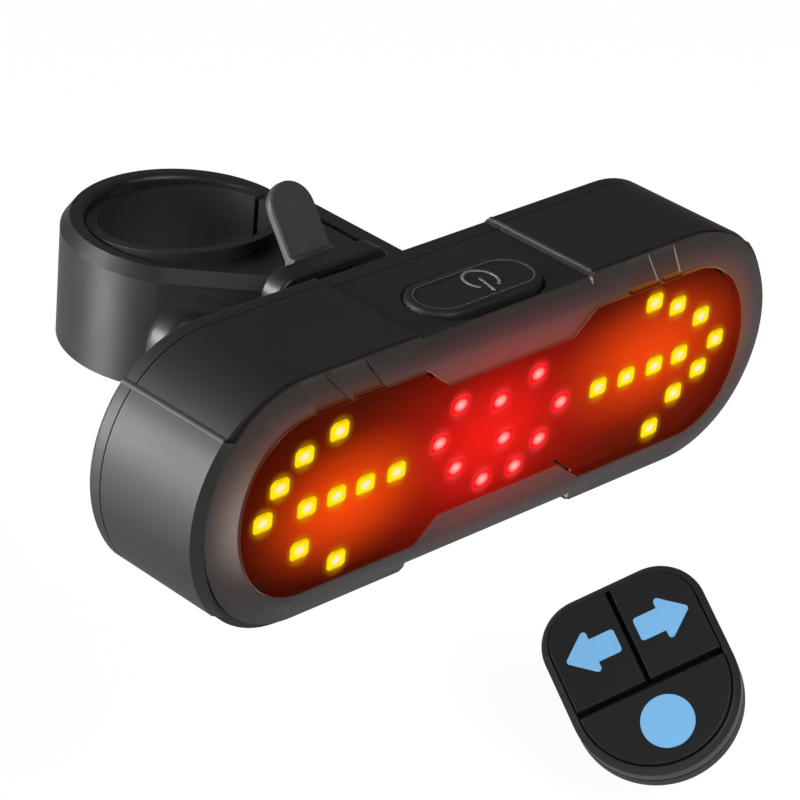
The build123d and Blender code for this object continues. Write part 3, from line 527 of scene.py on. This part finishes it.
def pouchFoil():
    # aluminium laminate of a pouch cell: pale metal, softly crumpled
    material, tree, shader = startMaterial("pouchFoil", "#b9bbbd", 0.35, {"Metallic": 1.0})
    mottle(tree, shader, "#aeb0b2", "#c4c6c8", 8, 0.28, 0.45)
    grainBump(tree, shader, 1.5, 0.02)
    return material


def brassSheet():
    # rolled brass of a sprung contact: yellow metal, half bright
    material, tree, shader = startMaterial("brassSheet", "#c9a24e", 0.3, {"Metallic": 1.0})
    mottle(tree, shader, "#c09a48", "#d0aa58", 1.5, 0.25, 0.4)
    return material


housingAbs = sandedAbs("sandedBlackAbs", "#141415", "#1b1b1c", 0.5)
rimAbs = sandedAbs("satinGreyAbs", "#242425", "#2d2d2e", 0.4)
nylon = satinNylon()
# the tab's paler nylon is painted light
litTabSkin = litTabNylon()
smoke = smokedPolycarbonate()
windowClear = clearPolycarbonate()
windowEdge = litRim()
diffuser = glowingDiffuser()
amberCap = ledPhosphor("amberLedCap", "#fffde0", "#fff608", "#fff000", 0.6)
redCap = ledPhosphor("redLedCap", "#ffccca", "#ff1216", "#ff0810", 0.72)
amberSpill = ledHalo("amberLedSpill", "#e0b000", 0.6)
redSpill = ledHalo("redLedSpill", "#ff3c40", 0.75)
# paler colours for rounded edges and crease beads: painted highlights
absHighlightEdge = highlightEdge("highlightAbsEdge", "#656566", 0.35)
keyHighlightEdge = highlightEdge("highlightKeyEdge", "#98989a", 0.4)
beadHighlightSkin = beadHighlightAbs()
rubberHighlightEdge = highlightEdge("highlightRubberEdge", "#2a2a2a", 0.5)
smokeHighlightEdge = paintedBezelEdge()
rubber = blackRubber()
keySkin = keySilicone()
blue = blueInlay()
darkSteel = blackSteel()
steel = plainSteel()
board = solderResist()
epoxy = epoxyBlack()
foil = pouchFoil()
brass = brassSheet()
print("materials made")


# Moulded pieces: copies of the CAD nodes, some of them cut or stretched first
def block(given, name):
    # a box between the sides given in mm
    bpy.ops.mesh.primitive_cube_add(size=1)
    cube = bpy.context.active_object
    cube.scale = [mm(given[axis][1] - given[axis][0]) for axis in "xyz"]
    cube.location = [mm(sum(given[axis])) / 2 for axis in "xyz"]
    return settle(cube, name)


def cutAway(piece, cutter):
    activate(piece)
    modifier = piece.modifiers.new("cut", "BOOLEAN")
    modifier.operation = "DIFFERENCE"
    modifier.solver = "EXACT"
    modifier.object = cutter
    bpy.ops.object.modifier_apply(modifier=modifier.name)
    bpy.data.objects.remove(cutter)


def faceOutwards():
    # ends edit mode with every face turned outwards
    bpy.ops.mesh.select_all(action="SELECT")
    bpy.ops.mesh.normals_make_consistent(inside=False)
    bpy.ops.object.mode_set(mode="OBJECT")


def prism(corners, low, high, name):
    # upright block on a plan outline in metres
    bpy.ops.mesh.primitive_circle_add(vertices=len(corners), radius=1, fill_type="NGON")
    piece = bpy.context.active_object
    for vertex, (x, y) in zip(piece.data.vertices, corners):
        vertex.co = (x, y, low)
    bpy.ops.object.mode_set(mode="EDIT")
    bpy.ops.mesh.select_all(action="SELECT")
    bpy.ops.mesh.extrude_region_move(TRANSFORM_OT_translate={"value": (0, 0, high - low)})
    faceOutwards()
    return settle(piece, name)


neckSettings = {
    "start": (-12.05, -15.12),  # two points of the tangent in plan, the first just inside the ring
    "end": (-2.6, -24.45),
    "reach": 30.0,
    "plateFront": -30.05,
    "plateTop": 2.02,
    "inset": 1.4,  # of the shoulder
    "drop": 2.0,
    "spare": 2.0,  # how far a cutter stands out
}


def trimNeck(piece):
    # the clamp's neck leaves the ring along a tangent on its near side, with the ring's shoulder
    low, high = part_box("clamp_band")
    spare = mm(neckSettings["spare"])
    start, end = (Vector([mm(value) for value in neckSettings[key]]) for key in ("start", "end"))
    along = (end - start).normalized()
    outward = Vector((along.y, -along.x, 0))
    far = start - along * mm(neckSettings["reach"])
    cutter = prism([far, end, Vector((far.x, end.y))], low.z - spare, high.z + spare, "neckCutter")
    cutAway(piece, cutter)
    end = start + along * (mm(neckSettings["plateFront"]) - start.y) / along.y
    cutter = prism([far, end, Vector((far.x, end.y))], mm(neckSettings["plateTop"]), high.z + spare,
                   "plateCutter")
    cutAway(piece, cutter)
    inset, drop = mm(neckSettings["inset"]), mm(neckSettings["drop"])
    beyond = outward.xy * 1.5 * spare
    wedge = prism([far, end, end + beyond, far + beyond], high.z - drop, high.z + drop,
                  "shoulderCutter")
    for vertex in wedge.data.vertices:
        if vertex.co.z > high.z and (vertex.co.xy - start).dot(outward.xy) < spare / 2:
            vertex.co -= 2 * inset * outward
    cutAway(piece, wedge)


def paleThroat(piece, wallLimit=0.5):
    # the bezel's wall beside the window catches its light: faces that look inwards, not forwards
    for face in piece.data.polygons:
        inwards = face.normal.dot(face.center * Vector((1, 0, 1))) < 0
        if inwards and abs(face.normal.y) < wallLimit:
            face.material_index = 1


lipSettings = {"x": (34.0, 62.0), "y": (-73.0, -68.92), "z": (-25.0, 25.0)}


def trimLip(piece):
    # the raised lip stays on the bezel's near end only
    cutAway(piece, block(lipSettings, "lipCutter"))


bezelEnd = {"arcX": 36.95, "from": 15.0, "to": 18.2, "reach": 1.95, "behind": -68.9}


def widenBezel(piece):
    # at the far end the bezel reaches out to the housing's side, more towards its rim
    given = bezelEnd
    for vertex in piece.data.vertices:
        place = vertex.co * 1000
        if place.x < given["arcX"] or place.y > given["behind"]:
            continue
        radius = math.hypot(place.x - given["arcX"], place.z)
        share = min(max((radius - given["from"]) / (given["to"] - given["from"]), 0), 1)
        vertex.co.x += mm(given["reach"]) * share * (place.x - given["arcX"]) / radius


changes = {"clamp_band": trimNeck, "main_housing": trimLip, "front_bezel": widenBezel}
mouldedPieces = {
    # node: round of its edges in mm, body, slot, face material, and edge material with a painted
    # highlight
    "main_housing": (0.22, "light", "housing_black", housingAbs, absHighlightEdge),
    "rear_cover": (0.22, "light", "housing_black", housingAbs, absHighlightEdge),
    "front_bezel": (0.18, "light", "bezel_gloss", smoke, smokeHighlightEdge),
    "port_cover": (0.2, "port_flap", "rubber_black", rubber, rubberHighlightEdge),
    "clamp_band": (0.3, "clamp", "clamp_black", nylon, absHighlightEdge),
    "rail_receiver": (0.25, "clamp", "clamp_black", nylon, absHighlightEdge),
    "release_tab": (0.18, "latch", "clamp_black", litTabSkin, absHighlightEdge),
    "post_liner": (0.35, "clamp", "rubber_black", rubber, rubberHighlightEdge),
    "remote_frame": (0.14, "clamp", "housing_black", rimAbs, keyHighlightEdge),
    "remote_base": (0.15, "clamp", "housing_black", housingAbs, absHighlightEdge),
    "key_left": (0.12, "left_key", "key_black", keySkin, keyHighlightEdge),
    "key_right": (0.12, "right_key", "key_black", keySkin, keyHighlightEdge),
    "key_round": (0.12, "round_key", "key_black", keySkin, keyHighlightEdge),
    "bar_pad": (0.2, "clamp", "rubber_black", rubber, rubberHighlightEdge),
    "bar_strap": (0.3, "clamp", "rubber_black", rubber, rubberHighlightEdge),
}
for nodeName, (edgeWidth, body, slotName, *materials) in mouldedPieces.items():
    shell = softened(nodeName, edgeWidth, change=changes.get(nodeName))
    dress(shell, *materials)
    if nodeName == "front_bezel":
        paleThroat(shell)
    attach(shell, body)
    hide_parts(nodeName)
print("moulded pieces softened:", len(mouldedPieces))


wingSettings = {
    "x": (-29.3, -5.0),
    "y": (-30.0, -24.4),
    "z": (-12.0, 9.3),
    "endTop": 2.0,  # height at the right end
    "endRound": 8.0,
    "edgeRound": 1.6,
    "depthLeast": 1.0,  # an edge that runs front to back is longer than this
    "sharp": 60,
    "smooth": 40,
}


def makeSaddleWing(given):
    # rounded end of the saddle plate that shows past the ring, behind the light
    wing = block(given, "saddleWing")
    middle = mm(sum(given["x"]) / 2)
    for vertex in wing.data.vertices:
        if vertex.co.x > middle and vertex.co.z > 0:
            vertex.co.z = mm(given["endTop"])
    bpy.ops.object.mode_set(mode="EDIT")
    bpy.ops.mesh.select_all(action="DESELECT")
    bpy.ops.mesh.select_mode(type="EDGE")
    bpy.ops.object.mode_set(mode="OBJECT")
    for edge in wing.data.edges:
        ends = [wing.data.vertices[i].co for i in edge.vertices]
        atLeft = all(end.x < middle for end in ends)
        edge.select = atLeft and abs(ends[0].y - ends[1].y) > mm(given["depthLeast"])
    bpy.ops.object.mode_set(mode="EDIT")
    bpy.ops.mesh.bevel(offset=mm(given["endRound"]), segments=12, affect="EDGES")
    bpy.ops.mesh.select_all(action="DESELECT")
    bpy.ops.mesh.edges_select_sharp(sharpness=math.radians(given["sharp"]))
    bpy.ops.mesh.bevel(offset=mm(given["edgeRound"]), segments=5, affect="EDGES", clamp_overlap=True)
    bpy.ops.object.mode_set(mode="OBJECT")
    smoothUnder(wing, given["smooth"])
    dress(wing, nylon)
    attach(wing, "clamp")


makeSaddleWing(wingSettings)

beadSettings = {
    "front": 1.2,
    "past": 2.4,
    "skins": [(-52.7, 13.32, 0.66), (52.7, 13.32, 0.66)],  # x, z and radius
    "brows": [(-17.85, 19.08, 0.17), (17.75, 18.9, 0.4)],
    "smooth": 50,
}


def makeCreaseBeads(given):
    # moulded beads, front to back: along the raised end skins and the brows of the middle recess
    low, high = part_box("main_housing")
    start, back = low.y + mm(given["front"]), high.y + mm(given["past"])
    places = given["skins"] + given["brows"] + [(x, -z, radius) for x, z, radius in given["brows"]]
    beads = []
    for x, z, radius in places:
        bpy.ops.mesh.primitive_cylinder_add(vertices=64, radius=mm(radius), depth=back - start,
                                            location=(mm(x), (start + back) / 2, mm(z)),
                                            rotation=(math.pi / 2, 0, 0))
        beads.append(bpy.context.active_object)
    beads = joined(beads, "creaseBeads")
    smoothUnder(beads, given["smooth"])
    # the beads take the paler crease colour: a painted highlight along the creases
    dress(beads, beadHighlightSkin)
    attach(beads, "light")


makeCreaseBeads(beadSettings)
print("wing and beads made")


# Window: clear front, lit cut edge
lensSettings = {
    "edge": 0.05,
    "sideLimit": 0.6,  # a face whose normal goes past this along Y looks forwards or back
    "frontDepth": 0.2,
    "middle": 1.0,  # depth of the point that outward faces look away from
}


def makeWindow(settings):
    # clear on its front, lit along the cut edges that face up, coloured elsewhere
    window = softened("lens_window", settings["edge"])
    dress(window, windowClear, windowEdge, diffuser)
    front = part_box("lens_window")[0].y
    middle = Vector((0, front + mm(settings["middle"]), 0))
    for face in window.data.polygons:
        outward = face.normal.dot((face.center - middle) * Vector((1, 0, 1))) > 0
        atFront = face.center.y < front + mm(settings["frontDepth"])
        if atFront and face.normal.y < -settings["sideLimit"]:
            face.material_index = 0
        elif outward and face.normal.z > face.normal.x and abs(face.normal.y) < settings["sideLimit"]:
            face.material_index = 1
        else:
            face.material_index = 2 if face.normal.y < settings["sideLimit"] else 0
    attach(window, "light")
    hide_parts("lens_window")


makeWindow(lensSettings)
dress(nodes["light_mask"], diffuser)
print("window made")


# LEDs: one cap and one spill modelled, then copied to each place
ledSettings = {
    "width": 4.0,
    "height": 2.95,
    "corner": 0.8,
    "steps": [(0.25, 0.1), (0.45, 0.06)],  # inset and rise of the cap's two steps
    "back": 1.08,  # behind the window's front
    "spillWidth": 6.0,
    "spillBack": 0.965,
    "smooth": 60,
}


def centresOf(nodeName):
    # the LED places are read from the CAD node: its loose parts' centres
    copy = freeCopy(nodeName)
    bpy.ops.object.mode_set(mode="EDIT")
    bpy.ops.mesh.separate(type="LOOSE")
    bpy.ops.object.mode_set(mode="OBJECT")
    centres = []
    for part in list(bpy.context.selected_objects):
        corners = [Vector(c) for c in part.bound_box]
        centres.append(sum(corners, Vector()) / 8)
        bpy.data.objects.remove(part)
    return centres


def squareUv(piece, centre, width, height):
    layer = piece.data.uv_layers[0] if piece.data.uv_layers else piece.data.uv_layers.new()
    layer.name = "cap"
    for loop in piece.data.loops:
        place = piece.data.vertices[loop.vertex_index].co
        across, up = (place.x - centre.x) / width, (place.z - centre.z) / height
        layer.data[loop.index].uv = (across + 0.5, up + 0.5)


def roundedPlate(width, height, corner):
    bpy.ops.mesh.primitive_plane_add(size=1, rotation=(math.radians(90), 0, 0))
    plate = bpy.context.active_object
    plate.scale = (mm(width), mm(height), 1)
    bpy.ops.object.transform_apply(location=False, rotation=True, scale=True)
    bpy.ops.object.mode_set(mode="EDIT")
    bpy.ops.mesh.select_all(action="SELECT")
    bpy.ops.mesh.bevel(offset=mm(corner), segments=6, affect="VERTICES")
    return plate


def makeLedCap(settings):
    cap = roundedPlate(settings["width"], settings["height"], settings["corner"])
    for inset, rise in settings["steps"]:
        bpy.ops.mesh.inset(thickness=mm(inset))
        bpy.ops.transform.translate(value=(0, -mm(rise), 0))
    bpy.ops.object.mode_set(mode="OBJECT")
    smoothUnder(cap, settings["smooth"])
    return cap


def makeSpill(settings):
    spill = roundedPlate(settings["spillWidth"], settings["spillWidth"], settings["spillWidth"] / 3)
    bpy.ops.object.mode_set(mode="OBJECT")
    return spill


def copyTo(source, place, width, height):
    activate(source)
    bpy.ops.object.duplicate()
    copy = bpy.context.active_object
    copy.location = place
    bpy.ops.object.transform_apply(location=True, rotation=False, scale=False)
    squareUv(copy, place, mm(width), mm(height))
    return copy


def layLeds(nodeName, name, capMaterial, spillMaterial, settings):
    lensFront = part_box("lens_window")[0].y
    cap = makeLedCap(settings)
    spill = makeSpill(settings)
    spillWidth = settings["spillWidth"]
    caps, spills = [], []
    for centre in centresOf(nodeName):
        place = Vector((centre.x, lensFront + mm(settings["back"]), centre.z))
        caps.append(copyTo(cap, place, settings["width"], settings["height"]))
        place = Vector((centre.x, lensFront + mm(settings["spillBack"]), centre.z))
        spills.append(copyTo(spill, place, spillWidth, spillWidth))
    bpy.data.objects.remove(cap)
    bpy.data.objects.remove(spill)
    for pieces, ending, material in ((caps, "Caps", capMaterial), (spills, "Spill", spillMaterial)):
        piece = joined(pieces, name + ending)
        dress(piece, material)
        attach(piece, "light")


layLeds("amber_leds_left", "amberLeft", amberCap, amberSpill, ledSettings)
layLeds("amber_leds_right", "amberRight", amberCap, amberSpill, ledSettings)
layLeds("red_leds", "redMiddle", redCap, redSpill, ledSettings)
print("LEDs laid")


# Power button: a pill with a rounded rim round a sunk face, and the open ring and stroke on it
buttonSettings = {
    "inset": 0.75,
    "steps": [(0.0, 1.1), (0.1, 0.3), (0.25, 0.25), (0.35, 0.12), (0.35, 0.03), (0.2, -0.03),
              (0.1, -0.01), (0.14, -0.17)],  # inset and rise from the side wall to the sunk face
    # the pale line is a painted highlight
    "line": (1.26, 1.34),  # pale line, from the pill's outline
    "smooth": 30,
}
signSettings = {
    "radius": 2.7,
    "line": 0.3,
    "gap": 70,
    "turn": -13,
    "offset": (2.1, 0.7),
    "faceDrop": 0.21,  # of the sunk face under the button's top
    "rise": 0.16,
    "stroke": (0.1, -3.4),
    "stretch": (0.94, 1.05, 1),
    "smooth": 50,
    "steps": 44,  # in the open ring
}


def makeButton(settings):
    low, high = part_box("power_button")
    halfLength = (high.x - low.x) / 2 - mm(settings["inset"])
    radius = (high.y - low.y) / 2 - mm(settings["inset"])
    drop = sum(rise for _, rise in settings["steps"] if rise > 0)
    bpy.ops.mesh.primitive_circle_add(vertices=64, radius=radius, fill_type="NGON")
    pill = bpy.context.active_object
    for vertex in pill.data.vertices:
        vertex.co.x += math.copysign(halfLength - radius, vertex.co.x)
    bpy.ops.object.mode_set(mode="EDIT")
    bpy.ops.mesh.select_all(action="SELECT")
    for inset, rise in settings["steps"]:
        if inset:
            bpy.ops.mesh.inset(thickness=mm(inset))
            bpy.ops.transform.translate(value=(0, 0, mm(rise)))
        else:
            bpy.ops.mesh.extrude_region_move(TRANSFORM_OT_translate={"value": (0, 0, mm(rise))})
    faceOutwards()
    centre = (low + high) / 2
    pill.location = (centre.x, centre.y, high.z - mm(drop))
    settle(pill, "powerPill")
    smoothUnder(pill, settings["smooth"])
    dress(pill, housingAbs, absHighlightEdge)
    straight = halfLength - radius
    nearest, furthest = (mm(value) for value in settings["line"])
    # faces in the pale line's band take the paler edge colour: a painted highlight
    for face in pill.data.polygons:
        across = face.center - centre
        across.x -= min(max(across.x, -straight), straight)
        face.material_index = 1 if nearest < radius - across.xy.length < furthest else 0
    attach(pill, "power_button")
    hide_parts("power_button")


def makeSignRing(settings, turn, gap):
    bpy.ops.mesh.primitive_circle_add(vertices=12, radius=mm(settings["line"]), fill_type="NGON",
                                      location=(0, -mm(settings["radius"]), 0),
                                      rotation=(0, math.radians(90), 0))
    ring = settle(bpy.context.active_object, "signRing")
    bpy.ops.object.mode_set(mode="EDIT")
    bpy.ops.mesh.select_all(action="SELECT")
    bpy.ops.mesh.spin(steps=settings["steps"], angle=2 * math.pi - gap, center=(0, 0, 0),
                      axis=(0, 0, 1))
    faceOutwards()
    ring.rotation_euler = (0, 0, turn - gap / 2)
    return settle(ring, "signRing")


def makeSignStroke(settings, turn):
    inner, outer = settings["stroke"]
    bpy.ops.mesh.primitive_uv_sphere_add(segments=16, ring_count=10, radius=mm(settings["line"]),
                                         rotation=(math.radians(90), 0, 0))
    stroke = settle(bpy.context.active_object, "signStroke")
    for vertex in stroke.data.vertices:
        vertex.co.y += mm(inner) if vertex.co.y > 0 else mm(outer)
    stroke.rotation_euler = (0, 0, turn)
    return settle(stroke, "signStroke")


def makePowerSign(settings):
    low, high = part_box("power_button")
    turn, gap = math.radians(settings["turn"]), math.radians(settings["gap"])
    sign = joined([makeSignRing(settings, turn, gap), makeSignStroke(settings, turn)], "powerSign")
    across, along = settings["offset"]
    depth = settings["faceDrop"] + settings["line"] - settings["rise"]
    sign.scale = settings["stretch"]
    sign.location = ((low.x + high.x) / 2 + mm(across), (low.y + high.y) / 2 + mm(along),
                     high.z - mm(depth))
    settle(sign, "powerSign")
    smoothUnder(sign, settings["smooth"])
    # the sign takes the paler edge colour all over: a painted highlight
    dress(sign, absHighlightEdge)
    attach(sign, "power_button")


makeButton(buttonSettings)
makePowerSign(signSettings)
print("power button made")


# Nodes that stay as they are get their finish
keptFinishes = {
    "cover_seal": rubber, "remote_seal": rubber, "battery_pad": epoxy, "control_chips": epoxy,
    "cover_screws": darkSteel, "clamp_screw": darkSteel, "receiver_screws": darkSteel,
    "remote_screws": darkSteel,
    "clamp_nut": steel, "latch_pin": steel, "tact_switch": steel, "usb_socket": steel,
    "coin_cell": steel, "dome_switches": steel,
    "led_board": board, "button_board": board, "remote_board": epoxy,
    "battery": foil, "cell_contact": brass,
    "arrow_inlay_left": blue, "arrow_inlay_right": blue, "dot_inlay": blue,
    "amber_leds_left": epoxy, "amber_leds_right": epoxy, "red_leds": epoxy,
}
for nodeName, material in keptFinishes.items():
    dress(nodes[nodeName], material)
print("kept nodes finished:", len(keptFinishes))


# Studio: pale floor, soft lamps, even world
studio = {
    "floorGap": 1.0,  # mm under the object
    "floorSize": 6.0,  # m
    "white": 1.12,
    "shadow": 0.16,  # share of the paper that shows its shadow
    "mirrored": 0.26,  # how much of the floor glossy parts show
    "worldLevel": 0.16,
    "mirroredSky": 0.18,
}
softBoxes = [
    # name, place in m, what it faces, size in m, watts, spread in degrees
    ("keyBox", (-0.2, -0.95, 0.75), (0.02, -0.04, -0.04), (0.6, 0.6), 10.5, 180),
    ("leftBox", (-0.32, 0.17, 0.06), (-0.065, -0.06, 0), (0.16, 0.2), 0.36, 50),
    ("ringBox", (-0.25, 0.1, -0.11), (-0.03, 0, -0.01), (0.14, 0.08), 0.03, 34),
    ("backBox", (-0.24, 0.28, 0.34), (0, -0.05, 0.02), (0.12, 0.12), 0.15, 180),
]


def backdropShare(tree, mirrored):
    # 1 for the camera and through clear parts, a share in reflections, 0 for light on the object
    rays = addNode(tree, "ShaderNodeLightPath")
    glossy = addNode(tree, "ShaderNodeMath", {"operation": "MULTIPLY", 1: mirrored},
                     {0: rays.outputs["Is Glossy Ray"]})
    seen = addNode(tree, "ShaderNodeMath", {"operation": "MAXIMUM"},
                   {0: rays.outputs["Is Camera Ray"], 1: glossy.outputs["Value"]})
    seen = addNode(tree, "ShaderNodeMath", {"operation": "MAXIMUM"},
                   {0: seen.outputs["Value"], 1: rays.outputs["Is Transmission Ray"]})
    return seen.outputs["Value"]


def makeFloor(settings):
    # white paper that keeps the object's shadow
    bpy.ops.mesh.primitive_plane_add(size=settings["floorSize"],
                                     location=(0, 0, cadBox[0].z - mm(settings["floorGap"])))
    floor = bpy.context.active_object
    floor.name = "studioFloor"
    material = bpy.data.materials.new("paperBackdrop")
    material.use_nodes = True
    tree = material.node_tree
    tree.nodes.clear()
    paper = addNode(tree, "ShaderNodeBsdfDiffuse", {"Color": toLinear("#f2f2f2")})
    white = addNode(tree, "ShaderNodeEmission",
                    {"Color": toLinear("#ffffff"), "Strength": settings["white"]})
    share = addNode(tree, "ShaderNodeMath", {"operation": "MULTIPLY", 1: 1 - settings["shadow"]},
                    {0: backdropShare(tree, settings["mirrored"])})
    parts = {0: share.outputs["Value"], 1: paper.outputs["BSDF"], 2: white.outputs["Emission"]}
    mix = addNode(tree, "ShaderNodeMixShader", links=parts)
    addNode(tree, "ShaderNodeOutputMaterial", links={"Surface": mix.outputs["Shader"]})
    dress(floor, material)


def makeLamps(boxes):
    for name, place, target, size, watts, spread in boxes:
        bpy.ops.object.light_add(type="AREA", location=place)
        lamp = bpy.context.active_object
        lamp.name = name
        lamp.data.shape = "RECTANGLE"
        lamp.data.size, lamp.data.size_y = size
        lamp.data.energy = watts
        lamp.data.spread = math.radians(spread)
        lamp.rotation_euler = (Vector(target) - Vector(place)).to_track_quat("-Z", "Y").to_euler()


def makeWorld(settings):
    # soft even light; the camera and clear parts see it white, glossy ones a little of it
    world = bpy.data.worlds.new("evenSky")
    bpy.context.scene.world = world
    world.use_nodes = True
    tree = world.node_tree
    tree.nodes.clear()
    strength = addNode(tree, "ShaderNodeMath", {"operation": "MAXIMUM", 1: settings["worldLevel"]},
                       {0: backdropShare(tree, settings["mirroredSky"])})
    sky = addNode(tree, "ShaderNodeBackground", {"Color": toLinear("#ffffff")},
                  {"Strength": strength.outputs["Value"]})
    addNode(tree, "ShaderNodeOutputWorld", links={"Surface": sky.outputs["Background"]})


makeFloor(studio)
makeLamps(softBoxes)
makeWorld(studio)
bpy.context.scene.view_settings.view_transform = "Standard"
print("studio set")
